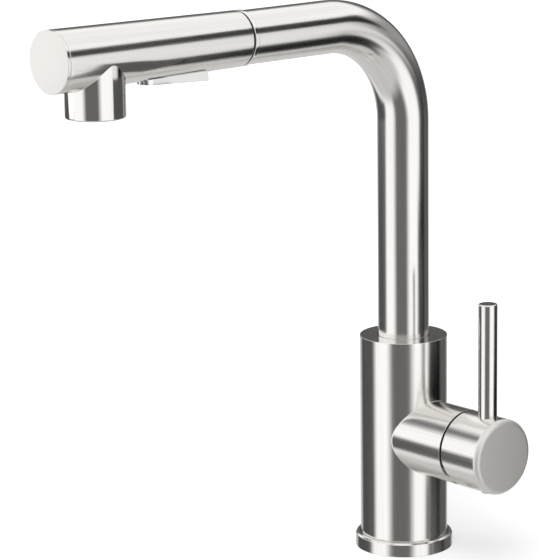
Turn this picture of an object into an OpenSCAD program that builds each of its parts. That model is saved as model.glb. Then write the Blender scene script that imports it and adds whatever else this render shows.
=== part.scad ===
// Single-lever kitchen mixer with an L-shaped spout and a pull-out spray head.
// Origin: on the body's axis, in the plane of the deck. +Z up, spout tip to -Y, handle to +X.

/* [Foot] */
// How far the deck flange stands out beyond the body
flange_proud = 3; // [2.8:0.1:8]
// Height of the deck flange
flange_h = 8; // [6:0.5:14]
// Bevel round the flange's top edge
flange_bevel = 0.9; // [0.3:0.1:1.5]
// Thickness of the lip that the body stands on
lip_t = 2.5; // [2:0.5:4]
// Width of the rubber seal under the flange
gasket_w = 2.2; // [1.2:0.1:2.4]
// Depth of the seal's groove
gasket_t = 1.5; // [1:0.1:2]

/* [Body] */
// Wall of the brass collar between the spout's foot and the body tube
collar_wall = 5.8; // [5.5:0.1:8]
// Rise of the body's flat top above the handle's axis
body_rise = 56.8; // [52:0.1:90]
// Wall of the body tube
body_wall = 3; // [2:0.5:3.5]
// Thickness of the plate that closes the body's top
top_plate_t = 3; // [2:0.5:5]
// Length of the spout's foot inside the body
foot_len = 30; // [28:0.5:33]

/* [Inlets] */
// Bore of the threaded inlets and of the outlet
inlet_d = 9; // [8:0.1:9.4]
// Angle between neighbouring inlets
inlet_step = 45; // [45:1:60]
// Depth of the threaded bores
inlet_depth = 14; // [10:1:20]
// Water channel behind each threaded bore
channel_d = 6; // [4:0.5:6.5]
// Bore for the mounting stud
stud_d = 6.8; // [6:0.1:8.4]
// Passage for the pull-out hose through the foot
passage_d = 19; // [16:0.5:20]

/* [Valve] */
// Height of the handle's axis above the deck
handle_z = 68.2; // [62:0.1:75]
// Wall of the valve housing
housing_wall = 3.8; // [3.4:0.1:5.5]
// Length of the housing beyond the body
housing_len = 26; // [25:0.5:32]
// Diameter of the ceramic cartridge
cartridge_d = 35; // [34:0.5:35.4]
// Length of the cartridge
cartridge_len = 22; // [21:0.5:23]
// Thickness of the seal behind the cartridge
cartridge_seal_t = 1; // [0.8:0.1:1.5]
// Bore of the cartridge, in which the stem carrier turns
chamber_d = 25; // [24:0.5:26]
// Thickness of the fixed ceramic disc
fixed_disc_t = 3.5; // [2.5:0.5:3.5]
// Thickness of the moving ceramic disc
moving_disc_t = 2.5; // [2:0.1:2.5]
// Diameter of the moving ceramic disc
moving_disc_d = 20; // [17:0.5:20]

/* [Handle] */
// Length of the handle cap
cap_len = 28; // [27:0.5:38]
// Radius round the cap's front edge
cap_round = 3; // [1:0.5:4]
// Gap between the housing and the cap's rim
rim_gap = 1.5; // [1.2:0.1:2]
// Gap at the lowest point of the rim, cut away so that the cap can tip
rim_gap_low = 6.2; // [6:0.1:8]
// Diameter of the lever
lever_d = 10.7; // [8:0.1:12]
// Distance of the lever's axis from the cap's face
lever_setback = 12.8; // [11.5:0.1:14]
// Height of the lever's tip above the deck
lever_top = 154; // [120:1:190]
// Diameter of the plug over the set screw
plug_d = 6.6; // [6:0.1:8]
// How far the plug stands out of the cap
plug_proud = 1.4; // [0.5:0.1:2]

/* [Spout] */
// Outer diameter of the spout tube
tube_d = 29.2; // [28.6:0.1:30]
// Wall of the spout tube
tube_wall = 1.5; // [1.2:0.1:1.6]
// Height of the leg's axis above the deck
leg_z = 306.9; // [250:0.1:360]
// Radius of the bend, on the tube's axis
bend_r = 57.5; // [45:0.5:65]
// Distance from the body's axis to the spout's open mouth
mouth_y = 120.5; // [115:0.5:150]
// Width of the ring that shows at the mouth
mouth_ring_w = 2.4; // [1.5:0.1:4]
// Depth of the mouth ring's guide inside the tube
guide_len = 17; // [16:0.5:20]
// Space between the spout's tube and the collar that it turns in
collar_gap = 1.4; // [1.3:0.1:1.9]

/* [Spray head] */
// Gap between the mouth ring and the head
seam_gap = 1.3; // [0.6:0.1:2]
// Distance from the body's axis to the head's face
tip_y = 245; // [240:0.5:260]
// Head diameter at the seam
head_rear_d = 30.2; // [30:0.1:31]
// Head diameter at the tip
head_front_d = 33; // [32.4:0.1:34]
// Wall of the head's shell
head_wall = 1.6; // [1.2:0.1:1.8]
// Thickness of the head's end cap
head_cap_t = 2; // [1.5:0.1:3]
// Diameter of the black collar that docks in the mouth ring
dock_d = 23.8; // [22:0.1:24]
// Diameter of the pull-out hose
hose_d = 14; // [12:0.5:14.5]

/* [Nozzle] */
// Distance from the body's axis to the nozzle's axis
nozzle_y = 216.4; // [214:0.1:220]
// Outer diameter of the nozzle
nozzle_d = 31.8; // [31:0.1:32]
// Depth of the nozzle's rim below the leg's axis
nozzle_drop = 31.4; // [30:0.1:36]
// Wall of the nozzle
nozzle_wall = 1.7; // [1.4:0.1:2]
// Radius round the nozzle's rim
nozzle_round = 1.2; // [0.6:0.1:1.2]
// Diameter of the aerator in the middle of the spray face
aerator_d = 12.6; // [11:0.1:13]
// Diameter of one rubber spray nub
nub_d = 1.7; // [1.4:0.1:2]

/* [Selector] */
// Width of the selector rocker
rocker_w = 11; // [9:0.5:12]
// Distance from the body's axis to the rocker's square rear end
rocker_rear_y = 145.3; // [144:0.1:148]
// Distance from the body's axis to the tip of its round nose
rocker_nose_y = 187.8; // [186:0.1:188.5]
// Depth of the rocker's underside below the leg's axis at its nose
rocker_nose_drop = 17.6; // [17:0.1:18.5]
// Depth of the rocker's underside below the leg's axis at its rear end
rocker_rear_drop = 19.5; // [19:0.1:20.5]
// Distance from the body's axis to the rocker's pin
rocker_pin_y = 168; // [166:0.5:170]
// Diameter of the rocker's pin
rocker_pin_d = 2; // [1.5:0.1:2.5]

/* [Clearances] */
// Radial clearance of a turning or sliding fit
run = 0.05; // [0.03:0.01:0.1]
// Gap between parts that pass each other freely
free = 0.3; // [0.3:0.05:0.5]
// Small bevel on visible metal edges
edge = 0.4; // [0.2:0.1:0.8]

/* [Hidden] */
$fn = 72;
tiny = 0.01;
steel = [0.74, 0.73, 0.71];
brass = [0.78, 0.66, 0.38];
black = [0.09, 0.09, 0.10];
nylon = [0.88, 0.88, 0.85];
rubber = [0.13, 0.13, 0.14];

slip = 0.2;
tube_r = tube_d / 2;
collar_r = tube_r + collar_gap;
block_r = collar_r + collar_wall;
body_in_r = block_r + slip;
body_r = body_in_r + body_wall;
body_d = 2 * body_r;
flange_r = body_r + flange_proud;
body_top = handle_z + body_rise;
collar_top = body_top - top_plate_t;
block_h = collar_top - foot_len;
inlet_r = (passage_d / 2 + block_r) / 2;

housing_bore_r = cartridge_d / 2 + slip;
housing_r = housing_bore_r + housing_wall;
housing_d = 2 * housing_r;
housing_end = body_r + housing_len;
seat_x = block_r - 2.8;
cartridge_x = seat_x + cartridge_seal_t;
cartridge_end = cartridge_x + cartridge_len;
chamber_r = chamber_d / 2;
disc_x = cartridge_x + 6;
moving_disc_x = disc_x + fixed_disc_t + run;
driver_x = moving_disc_x + moving_disc_t;
driver_len = 5.85;
driver_end = driver_x + driver_len;
carrier_x = driver_end + free;
nut_end = cartridge_end + 6;
carrier_r = chamber_r - run;
carrier_end = nut_end;
bonnet_end = housing_end + 3.5;
pivot_x = carrier_x + 4.8;
ball_x = driver_x + 2.95;
ball_r = 2.6;
ball_bore_r = ball_r + 0.1;
neck_r = 1.8;
stem_r = 4;
stem_x = carrier_x + 1.2;
stem_pin_r = 1.5;
rim_x = housing_end + rim_gap;
cap_end = rim_x + cap_len;
lever_r = lever_d / 2;
lever_x = cap_end - lever_setback;
socket_end = cap_end - 6.5;
cavity_end = lever_x - lever_r - 0.35;
cavity_r = housing_bore_r + 1;
relief_top = 2;
lever_root = 8;
screw_r = 2.5;
plug_seat = 3;
screw_root = housing_r - plug_seat - 1;

tube_in_r = tube_r - tube_wall;
bend_z = leg_z - bend_r;
foot_z = block_h + 1 + run;
foot_top = collar_top + 14;
foot_bore_r = passage_d / 2 + 1;
ring_z = foot_z + 1.6;
ring_t = 1;
shoulder_z = ring_z + ring_t + free;
bush_h = 5;
low_bush_z = shoulder_z + 1.6;
top_bush_z = collar_top - bush_h - 3;
seal_z = (low_bush_z + bush_h + top_bush_z) / 2;
seal_t = 2;
bush_groove = 0.8;
mouth_ring_y = mouth_y - mouth_ring_w;
dock_r = dock_d / 2;
dock_bore_r = dock_r + 0.1;

head_y = mouth_y + seam_gap;
head_rear_r = head_rear_d / 2;
head_front_r = head_front_d / 2;
shell_end = tip_y - head_cap_t;
function head_r(y) = head_rear_r + (head_front_r - head_rear_r) * (y - head_y) / (tip_y - head_y);
core_y = head_y + 0.8;
nozzle_r = nozzle_d / 2;
nozzle_in_r = nozzle_r - nozzle_wall;
spray_body_r = nozzle_in_r - 0.1;
spray_neck_r = 10.5;
neck_drop = 8;
core_end = nozzle_y - spray_neck_r - 0.1;
head_bore_r = 5;
valve_r = head_bore_r + 3;
hose_r = hose_d / 2;
dock_len = 16;
dock_y = mouth_y - dock_len;
valve_len = 10;
nut_len = 8;
hose_y = dock_y - nut_len;
plate_drop = nozzle_drop - 1.8;
plate_t = 2;
membrane_t = 1;
membrane_drop = plate_drop - plate_t - membrane_t;
nub_len = 1.0;
aerator_r = aerator_d / 2;

rocker_nose_r = rocker_w / 2;
rocker_top_drop = 9.5;
pocket_top_drop = 6.7;
pocket_gap = 0.5;
pocket_end_gap = 1.2;
pin_drop = rocker_top_drop + rocker_pin_d / 2 + 0.5;
pin_room = head_r(rocker_pin_y) - head_wall;
pin_half = sqrt(pin_room * pin_room - pow(pin_drop + rocker_pin_d / 2, 2)) - 0.1;
plunger_y = 157;
plunger_r = 1.8;
plunger_foot_r = 2.6;
plunger_top_drop = 2;

// Local Z runs along the handle's axis, away from the body; local X points down.
module along_handle(x) translate([x, 0, handle_z]) rotate([0, 90, 0]) children();

// Local Z runs along the spout's leg, towards the tip; local Y points up.
module along_leg(y) translate([0, -y, leg_z]) rotate([90, 0, 0]) children();

// Local Z points down the nozzle from the leg's axis.
module down_nozzle() translate([0, -nozzle_y, leg_z]) rotate([180, 0, 0]) children();

module pipe(r_out, r_in, h) linear_extrude(h) difference() {
    circle(r_out);
    circle(r_in);
}

// Turned ring: radii a to b, heights z0 to z1, with the outer top edge bevelled.
module turned_ring(a, b, z0, z1, bevel) rotate_extrude() polygon([
    [a, z0], [b, z0], [b, z1 - bevel], [b - bevel, z1], [a, z1]]);

// ---- Foot and body ----

function gasket_out_r() = flange_r - 1;

module deck_flange() color(steel) difference() {
    rotate_extrude() polygon([
        [body_in_r, 0], [flange_r, 0],
        [flange_r, flange_h - flange_bevel], [flange_r - flange_bevel, flange_h],
        [body_r + free + edge, flange_h], [body_r + free, flange_h - edge],
        [body_r + free, lip_t], [body_in_r, lip_t]]);
    translate([0, 0, -tiny]) pipe(gasket_out_r(), gasket_out_r() - gasket_w, gasket_t + tiny);
}

module deck_gasket() color(rubber)
    pipe(gasket_out_r(), gasket_out_r() - gasket_w, gasket_t);

module body_shell() color(steel) difference() {
    rotate_extrude() polygon([
        [body_in_r, lip_t], [body_r, lip_t], [body_r, body_top - edge], [body_r - edge, body_top],
        [tube_r + free, body_top], [tube_r + free, collar_top], [body_in_r, collar_top]]);
    along_handle(0) cylinder(r = housing_bore_r, h = body_d);
}

module valve_housing() color(steel) difference() {
    along_handle(0) rotate_extrude() polygon([
        [housing_bore_r, 0], [housing_r, 0], [housing_r, housing_end - edge],
        [housing_r - edge, housing_end], [housing_bore_r, housing_end]]);
    translate([0, 0, handle_z - body_d]) cylinder(r = body_r, h = 2 * body_d);
}

// Threaded inlets for hot, mixed and cold water, and the stud's bore on the far side
function inlet_place(i) = [inlet_r * cos(i * inlet_step), inlet_r * sin(i * inlet_step)];
function port_z(i) = handle_z + (i == 0 ? -10 : 4);

module valve_block() color(brass) difference() {
    cylinder(r = block_r, h = block_h);
    translate([0, 0, -1]) cylinder(d = passage_d, h = block_h + 2);
    for (i = [-1 : 1]) {
        translate(inlet_place(i)) translate([0, 0, -1]) cylinder(d = inlet_d, h = inlet_depth + 1);
        translate(inlet_place(i)) cylinder(d = channel_d, h = port_z(i));
        translate([inlet_place(i)[0], inlet_place(i)[1], port_z(i)]) rotate([0, 90, 0])
            cylinder(d = channel_d, h = body_r);
    }
    translate([-inlet_r, 0, -1]) cylinder(d = stud_d, h = inlet_depth + 1);
    along_handle(seat_x) cylinder(r = housing_bore_r, h = body_r);
}

module spout_collar() color(brass) rotate_extrude() polygon([
    [collar_r + 2, block_h], [block_r, block_h], [block_r, collar_top], [collar_r, collar_top],
    [collar_r, shoulder_z], [collar_r + 2, shoulder_z]]);

module thrust_washer() color(nylon)
    translate([0, 0, block_h]) pipe(tube_r, foot_bore_r, 1);

// ---- Mixing cartridge ----

// Hot and cold water come in beside each other; mixed water goes out below them.
module port_holes(d, x, h) along_handle(x) for (i = [-1 : 1])
    translate([i == 0 ? 9 : -3, i * 8]) cylinder(d = d, h = h);

module cartridge_seal() color(rubber) difference() {
    along_handle(seat_x) cylinder(d = cartridge_d, h = cartridge_seal_t);
    port_holes(channel_d, seat_x - 1, cartridge_seal_t + 2);
}

module cartridge_body() color(nylon) difference() {
    along_handle(cartridge_x) cylinder(d = cartridge_d, h = cartridge_len);
    along_handle(disc_x) cylinder(r = chamber_r, h = cartridge_len);
    port_holes(channel_d, cartridge_x - 1, disc_x - cartridge_x + 2);
}

module fixed_disc() color(nylon) difference() {
    along_handle(disc_x) cylinder(r = chamber_r, h = fixed_disc_t);
    port_holes(channel_d - 1, disc_x - 1, fixed_disc_t + 2);
}

module cartridge_nut() color(brass) difference() {
    along_handle(cartridge_end) pipe(housing_bore_r, chamber_r + 0.4, nut_end - cartridge_end);
    // Four slots for the key
    for (a = [0 : 90 : 270]) along_handle(nut_end - 2) rotate(a)
        translate([chamber_r, -1.5, 0]) cube([2.5, 3, 3]);
}

// Black dome that closes the housing behind the cap
module bonnet() color(black) along_handle(0) rotate_extrude() polygon([
    [chamber_r + 0.8, nut_end], [housing_bore_r, nut_end], [housing_bore_r, housing_end],
    [housing_bore_r - 0.6, bonnet_end - 1.2], [housing_bore_r - 1.8, bonnet_end],
    [chamber_r - 1, bonnet_end], [chamber_r - 1, bonnet_end - 1.5], [chamber_r + 0.8, bonnet_end - 2]]);

module stem_carrier() color(nylon) difference() {
    along_handle(carrier_x) cylinder(r = carrier_r, h = carrier_end - carrier_x);
    translate([carrier_x - 1, -stem_r - free, handle_z - stem_r - 1.9])
        cube([carrier_end - carrier_x + 2, 2 * (stem_r + free), 2 * (stem_r + 1.9)]);
    translate([pivot_x, 0, handle_z]) rotate([90, 0, 0])
        cylinder(r = stem_pin_r, h = 2 * carrier_r, center = true);
}

module stem_pin() color(steel) translate([pivot_x, 0, handle_z]) rotate([90, 0, 0])
    cylinder(r = stem_pin_r, h = 2 * carrier_r - 3, center = true);

module disc_driver() color(nylon) difference() {
    along_handle(driver_x) cylinder(d = moving_disc_d, h = driver_end - driver_x);
    along_handle(driver_x) cylinder(r = ball_bore_r, h = driver_end - driver_x + 1);
}

module moving_disc() color(nylon) difference() {
    along_handle(moving_disc_x) cylinder(d = moving_disc_d, h = moving_disc_t);
    // Mixing pocket on the side that lies on the fixed disc
    along_handle(moving_disc_x - 1) translate([4, 0]) cylinder(d = moving_disc_d / 2, h = 2.2);
}

// ---- Handle ----

module handle_cap() color(steel) difference() {
    along_handle(0) rotate_extrude() difference() {
        union() {
            translate([0, rim_x]) square([housing_r, cap_end - cap_round - rim_x]);
            translate([0, rim_x]) square([housing_r - cap_round, cap_end - rim_x]);
            translate([housing_r - cap_round, cap_end - cap_round]) circle(cap_round);
        }
        translate([0, rim_x - 1]) square([cavity_r, cavity_end - rim_x + 1]);
    }
    rim_relief();
    along_handle(cavity_end - 1) cylinder(r = stem_r, h = socket_end - cavity_end + 1);
    translate([lever_x, 0, handle_z + lever_root]) cylinder(r = lever_r, h = housing_d);
    translate([lever_x, 0, handle_z - housing_d]) cylinder(r = screw_r, h = housing_d);
    translate([lever_x, 0, handle_z - housing_r - 1]) cylinder(d = plug_d, h = plug_seat + 1);
}

// Wedge under the axis that lets the rim tip towards the housing
module rim_relief() translate([0, housing_d, handle_z]) rotate([90, 0, 0])
    linear_extrude(2 * housing_d) polygon([
        [housing_end, -relief_top], [rim_x, -relief_top],
        [housing_end + rim_gap_low, -housing_r], [housing_end + rim_gap_low, -housing_d],
        [housing_end, -housing_d]]);

module handle_lever() color(steel) translate([lever_x, 0, 0])
    turned_ring(0, lever_r, handle_z + lever_root, lever_top, 2 * edge);

module valve_stem() color(steel) difference() {
    union() {
        along_handle(ball_x) sphere(ball_r);
        along_handle(ball_x) cylinder(r = neck_r, h = stem_x - ball_x + 1);
        along_handle(stem_x) cylinder(r = stem_r, h = socket_end - stem_x);
    }
    translate([pivot_x, 0, handle_z]) rotate([90, 0, 0])
        cylinder(r = stem_pin_r + run, h = 4 * stem_r, center = true);
}

module set_screw() color([0.35, 0.35, 0.36]) difference() {
    translate([lever_x, 0, handle_z - screw_root]) cylinder(r = screw_r, h = screw_root - stem_r);
    translate([lever_x, 0, handle_z - screw_root - 1]) cylinder(r = 1.4, h = 4, $fn = 6);
}

module screw_plug() color([0.80, 0.80, 0.78])
    translate([lever_x, 0, handle_z - housing_r - plug_proud]) rotate_extrude() polygon([
        [0, 0], [plug_d / 2 - 0.6, 0], [plug_d / 2, 0.6], [plug_d / 2, plug_proud + plug_seat],
        [0, plug_proud + plug_seat]]);

// ---- Spout ----

module spout_tube() color(steel) {
    translate([0, 0, collar_top]) pipe(tube_r, tube_in_r, bend_z - collar_top);
    translate([0, -bend_r, bend_z]) rotate([90, 0, 90]) rotate_extrude(angle = 90)
        translate([bend_r, 0]) difference() {
            circle(tube_r);
            circle(tube_in_r);
        }
    along_leg(bend_r) pipe(tube_r, tube_in_r, mouth_ring_y - bend_r);
}

// Light ring at the mouth, with the guide that the docking collar slides in
module mouth_ring() color(steel) along_leg(0) rotate_extrude() polygon([
    [dock_bore_r, mouth_y - guide_len], [tube_in_r, mouth_y - guide_len], [tube_in_r, mouth_ring_y],
    [head_rear_r, mouth_ring_y], [head_rear_r, mouth_y - edge], [head_rear_r - edge, mouth_y],
    [dock_bore_r + 0.5, mouth_y], [dock_bore_r, mouth_y - 0.5]]);

// Brazed brass foot: grooves for a snap ring, two bushes and a rubber ring
module spout_foot() color(brass) difference() {
    rotate_extrude() polygon([
        [foot_bore_r, foot_z], [tube_r, foot_z], [tube_r, collar_top],
        [tube_in_r, collar_top], [tube_in_r, foot_top], [foot_bore_r, foot_top]]);
    translate([0, 0, ring_z]) pipe(tube_r + 1, tube_r - 1, ring_t);
    for (z = [low_bush_z, top_bush_z]) translate([0, 0, z])
        pipe(tube_r + 1, tube_r - bush_groove, bush_h);
    translate([0, 0, seal_z - seal_t / 2]) pipe(tube_r + 1, collar_r - seal_t - 0.1, seal_t);
}

module swivel_bushes() color(nylon) for (z = [low_bush_z, top_bush_z])
    translate([0, 0, z]) pipe(collar_r - run, tube_r - bush_groove, bush_h);

module swivel_seal() color(rubber) translate([0, 0, seal_z]) rotate_extrude()
    translate([collar_r - 0.1 - seal_t / 2, 0]) circle(seal_t / 2);

module snap_ring() color([0.35, 0.35, 0.36]) translate([0, 0, ring_z]) difference() {
    pipe(collar_r + 1.3, tube_r - 1, ring_t);
    // The opening through which the ring springs over the foot
    translate([0, -3, -1]) cube([body_d, 6, ring_t + 2]);
}

module docking_collar() color(black) along_leg(0) rotate_extrude() polygon([
    [valve_r, dock_y], [dock_r - 1, dock_y], [dock_r, dock_y + 2], [dock_r, core_y], [valve_r, core_y]]);

module check_valve() color(nylon) along_leg(dock_y + 3) difference() {
    cylinder(r = valve_r, h = valve_len);
    for (a = [0 : 60 : 300]) rotate(a) translate([valve_r - 3.5, 0, -1]) cylinder(r = valve_r / 5, h = valve_len + 2);
}

// Brass nut that joins the hose to the head
module hose_nut() color(brass) difference() {
    union() {
        along_leg(hose_y) cylinder(r = dock_r - 2, h = nut_len, $fn = 6);
        along_leg(dock_y) cylinder(r = valve_r, h = 3);
    }
    along_leg(hose_y - 1) cylinder(r = head_bore_r, h = nut_len + 5);
}

// Hose: up the body's axis, round the bend and along the leg to the head's nut
module pullout_hose() color(rubber) {
    cylinder(r = hose_r, h = bend_z);
    translate([0, -bend_r, bend_z]) rotate([90, 0, 90]) rotate_extrude(angle = 90)
        translate([bend_r, 0]) circle(hose_r);
    along_leg(bend_r) cylinder(r = hose_r, h = hose_y - bend_r);
}

// ---- Spray head ----

// Cone of the head, thinned by t, from y0 to y1
module head_cone(t, y0, y1) along_leg(y0)
    cylinder(r1 = head_r(y0) - t, r2 = head_r(y1) - t, h = y1 - y0);

module head_shell() color(steel) difference() {
    head_cone(0, head_y, shell_end);
    head_cone(head_wall, head_y - 1, shell_end + 1);
    down_nozzle() cylinder(r = nozzle_in_r, h = nozzle_drop);
    rocker_pocket();
}

module head_cap() color(steel) {
    along_leg(0) rotate_extrude() polygon([
        [0, shell_end], [head_r(shell_end), shell_end], [head_front_r, tip_y - edge],
        [head_front_r - edge, tip_y], [0, tip_y]]);
    along_leg(shell_end - 4) pipe(head_r(shell_end - 4) - head_wall, head_r(shell_end) - head_wall - 2, 4);
}

// Branch under the head: its upper end is cut to the head's round, its rim is rolled over
module nozzle_sleeve() color(steel) difference() {
    down_nozzle() rotate_extrude() difference() {
        union() {
            square([nozzle_r, nozzle_drop - nozzle_round]);
            square([nozzle_r - nozzle_round, nozzle_drop]);
            translate([nozzle_r - nozzle_round, nozzle_drop - nozzle_round]) circle(nozzle_round);
        }
        translate([-nozzle_in_r, -1]) square([2 * nozzle_in_r, nozzle_drop + 2]);
    }
    head_cone(0, head_y, tip_y);
}

// Pocket that the rocker tips in: round at the nose, square at the rear
module rocker_plan(gap, end_gap) {
    nose_y = rocker_nose_y - rocker_nose_r;
    translate([0, -nose_y]) intersection() {
        circle(rocker_nose_r + gap + end_gap);
        translate([-rocker_nose_r - gap, -rocker_w]) square([2 * (rocker_nose_r + gap), rocker_w]);
    }
    translate([-rocker_nose_r - gap, -nose_y])
        square([2 * (rocker_nose_r + gap), nose_y - rocker_rear_y + end_gap]);
}

module rocker_pocket() translate([0, 0, leg_z - head_front_d])
    linear_extrude(head_front_d - pocket_top_drop) rocker_plan(pocket_gap, pocket_end_gap);

module head_core() color(nylon) difference() {
    head_cone(head_wall, core_y, core_end);
    along_leg(core_y - 1) cylinder(r = head_bore_r, h = core_end - core_y + 2);
    down_nozzle() translate([0, 0, neck_drop - 0.1]) cylinder(r = nozzle_in_r, h = nozzle_drop);
    rocker_pocket();
    translate([0, -plunger_y, leg_z - pocket_top_drop - 1]) cylinder(r = plunger_r + run, h = pocket_top_drop);
    rocker_pin_solid(rocker_pin_d / 2);
}

module spray_body() color(nylon) difference() {
    union() {
        down_nozzle() translate([0, 0, -neck_drop]) cylinder(r = spray_neck_r, h = 2 * neck_drop);
        down_nozzle() translate([0, 0, neck_drop])
            cylinder(r = spray_body_r, h = membrane_drop - neck_drop);
    }
    down_nozzle() cylinder(r = head_bore_r, h = plate_drop);
    down_nozzle() translate([0, 0, neck_drop + 3]) cylinder(r = spray_body_r - 2.5, h = plate_drop);
    along_leg(core_end - 1) cylinder(r = head_bore_r, h = nozzle_y - core_end + 1);
}

// Places of the spray nubs: two rings round the aerator
function nub_rings() = [[8.6, 16], [11.6, 24]];
module each_nub() for (ring = nub_rings()) for (k = [0 : ring[1] - 1])
    rotate(360 * k / ring[1]) translate([ring[0], 0]) children();

module spray_plate() color([0.55, 0.55, 0.56]) down_nozzle() translate([0, 0, plate_drop - plate_t])
    linear_extrude(plate_t) difference() {
        circle(nozzle_in_r);
        circle(aerator_r);
        each_nub() circle(d = nub_d, $fn = 24);
    }

module spray_nubs() color(rubber) down_nozzle() translate([0, 0, membrane_drop]) {
    linear_extrude(membrane_t) difference() {
        circle(spray_body_r);
        circle(aerator_r);
    }
    translate([0, 0, membrane_t]) linear_extrude(plate_t + nub_len) each_nub() difference() {
        circle(d = nub_d, $fn = 24);
        circle(d = nub_d / 2, $fn = 24);
    }
}

module aerator() color([0.50, 0.50, 0.52]) down_nozzle() {
    translate([0, 0, plate_drop - 7]) pipe(aerator_r, aerator_r - 1.2, 7.4);
    // Grid of thin bars across the ring
    translate([0, 0, plate_drop - 2.2]) linear_extrude(1.2) intersection() {
        circle(aerator_r - 1.1);
        for (k = [-3 : 3]) {
            translate([-aerator_r, 1.5 * k - 0.2]) square([aerator_d, 0.4]);
            translate([1.5 * k - 0.2, -aerator_r]) square([0.4, aerator_d]);
        }
    }
}

// ---- Stream selector ----

module rocker_pin_solid(r) translate([0, -rocker_pin_y, leg_z - pin_drop]) rotate([0, 90, 0])
    cylinder(r = r, h = 2 * pin_half, center = true);

module rocker() color(steel) difference() {
    intersection() {
        translate([0, 0, leg_z - head_front_d]) linear_extrude(head_front_d - rocker_top_drop)
            rocker_plan(0, 0);
        translate([rocker_w, 0, leg_z]) rotate([90, 0, -90]) linear_extrude(2 * rocker_w) polygon([
            [rocker_rear_y - 1, -rocker_rear_drop], [rocker_nose_y + 1, -rocker_nose_drop],
            [rocker_nose_y + 1, 0], [rocker_rear_y - 1, 0]]);
    }
    rocker_pin_solid(rocker_pin_d / 2 + run);
}

module rocker_pin() color(steel) rocker_pin_solid(rocker_pin_d / 2);

// Stub that the rocker lifts into the water channel
module diverter_plunger() color(nylon) translate([0, -plunger_y, leg_z - rocker_top_drop + free]) {
    cylinder(r = plunger_foot_r, h = 1);
    cylinder(r = plunger_r, h = rocker_top_drop - free - plunger_top_drop);
}

deck_flange();
deck_gasket();
body_shell();
valve_housing();
valve_block();
cartridge_seal();
cartridge_body();
fixed_disc();
cartridge_nut();
bonnet();
spout_collar();
thrust_washer();
stem_carrier();
stem_pin();
disc_driver();
moving_disc();
handle_cap();
handle_lever();
valve_stem();
set_screw();
screw_plug();
spout_tube();
mouth_ring();
spout_foot();
swivel_bushes();
swivel_seal();
snap_ring();
head_shell();
head_cap();
nozzle_sleeve();
head_core();
spray_body();
spray_plate();
spray_nubs();
aerator();
docking_collar();
check_valve();
hose_nut();
rocker();
rocker_pin();
diverter_plunger();
pullout_hose();
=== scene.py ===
# %% [markdown]
# # A pull-out kitchen mixer in brushed steel
# This lesson dresses the faucet that the construction model describes. The frame brings in every
# piece at its exact place, in metres, with the spout's tip towards -Y and the lever towards +X.
# The inner pieces keep their construction meshes and get a finish. The pieces that an eye or a
# hand meets are modelled again here, because a bought faucet shows what a plain solid lacks:
# rolled edges, weld beads, turned faces and a brushed grain.

# %% Load the frame
import math
import bpy
from mathutils import Matrix, Vector


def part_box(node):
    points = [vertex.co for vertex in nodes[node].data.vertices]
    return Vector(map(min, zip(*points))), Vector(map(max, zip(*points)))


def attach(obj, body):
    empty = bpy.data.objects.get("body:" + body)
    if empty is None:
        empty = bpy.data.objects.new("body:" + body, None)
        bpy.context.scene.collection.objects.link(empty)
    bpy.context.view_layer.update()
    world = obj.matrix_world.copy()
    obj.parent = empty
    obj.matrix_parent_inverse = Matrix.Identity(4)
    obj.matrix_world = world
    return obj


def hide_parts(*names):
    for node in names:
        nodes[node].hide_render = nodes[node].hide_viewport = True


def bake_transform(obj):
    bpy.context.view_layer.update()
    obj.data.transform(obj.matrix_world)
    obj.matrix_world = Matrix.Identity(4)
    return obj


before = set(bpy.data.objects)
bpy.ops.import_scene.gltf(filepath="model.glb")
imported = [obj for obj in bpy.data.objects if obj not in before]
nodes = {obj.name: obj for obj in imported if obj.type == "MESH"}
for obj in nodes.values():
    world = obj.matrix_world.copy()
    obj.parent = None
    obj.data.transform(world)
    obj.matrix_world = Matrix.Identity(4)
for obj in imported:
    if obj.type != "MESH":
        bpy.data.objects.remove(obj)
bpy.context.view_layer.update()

scene = bpy.context.scene

# %% [markdown]
# ## The camera
# A long lens from about 1.6 m keeps the two round tubes nearly parallel, as in a catalogue view.
# The camera looks at the lever's side from a little above. It could be aimed with a Track To
# constraint, but its axes can also be written down as the columns of a rotation: to the right,
# up, and backwards. The cross products make the three stand square to each other.

# %% Place the camera
SENSOR_WIDTH, LENS = 36.0, 178.98
VIEW_DEPTH = 50.0
CAMERA_PLACE = (1.1228, -1.0685, 0.5047)
BACKWARDS = (0.7366, -0.6399, 0.2188)
RIGHTWARDS = (0.6579, 0.7530, -0.0128)

camera_data = bpy.data.cameras.new("catalogue_camera")
camera_data.sensor_width = SENSOR_WIDTH
camera_data.lens = LENS
camera_data.clip_end = VIEW_DEPTH
camera = bpy.data.objects.new("catalogue_camera", camera_data)
scene.collection.objects.link(camera)
backwards = Vector(BACKWARDS).normalized()
upwards = backwards.cross(Vector(RIGHTWARDS)).normalized()
rightwards = upwards.cross(backwards).normalized()
turn = Matrix((rightwards, upwards, backwards)).transposed().to_4x4()
camera.matrix_world = Matrix.Translation(CAMERA_PLACE) @ turn
scene.camera = camera
print("camera at", CAMERA_PLACE, "metres, with a lens of", LENS, "mm")

# %% [markdown]
# ## Helpers for shader nodes
# Every finish and every lamp cloth below is built from nodes. The same few moves come back again
# and again, so they are written once: start a material, add a node with its inputs filled in,
# add a Math node, mix two shaders, and send a shader to the output.

# %% Node helpers


def new_material(name):
    material = bpy.data.materials.new(name)
    material.use_nodes = True
    material.node_tree.nodes.clear()
    return material, material.node_tree


def add_node(tree, kind, inputs=None, **settings):
    node = tree.nodes.new(kind)
    for key, value in settings.items():
        setattr(node, key, value)
    for key, value in (inputs or {}).items():
        if isinstance(value, bpy.types.NodeSocket):
            tree.links.new(value, node.inputs[key])
        else:
            node.inputs[key].default_value = value
    return node


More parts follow.
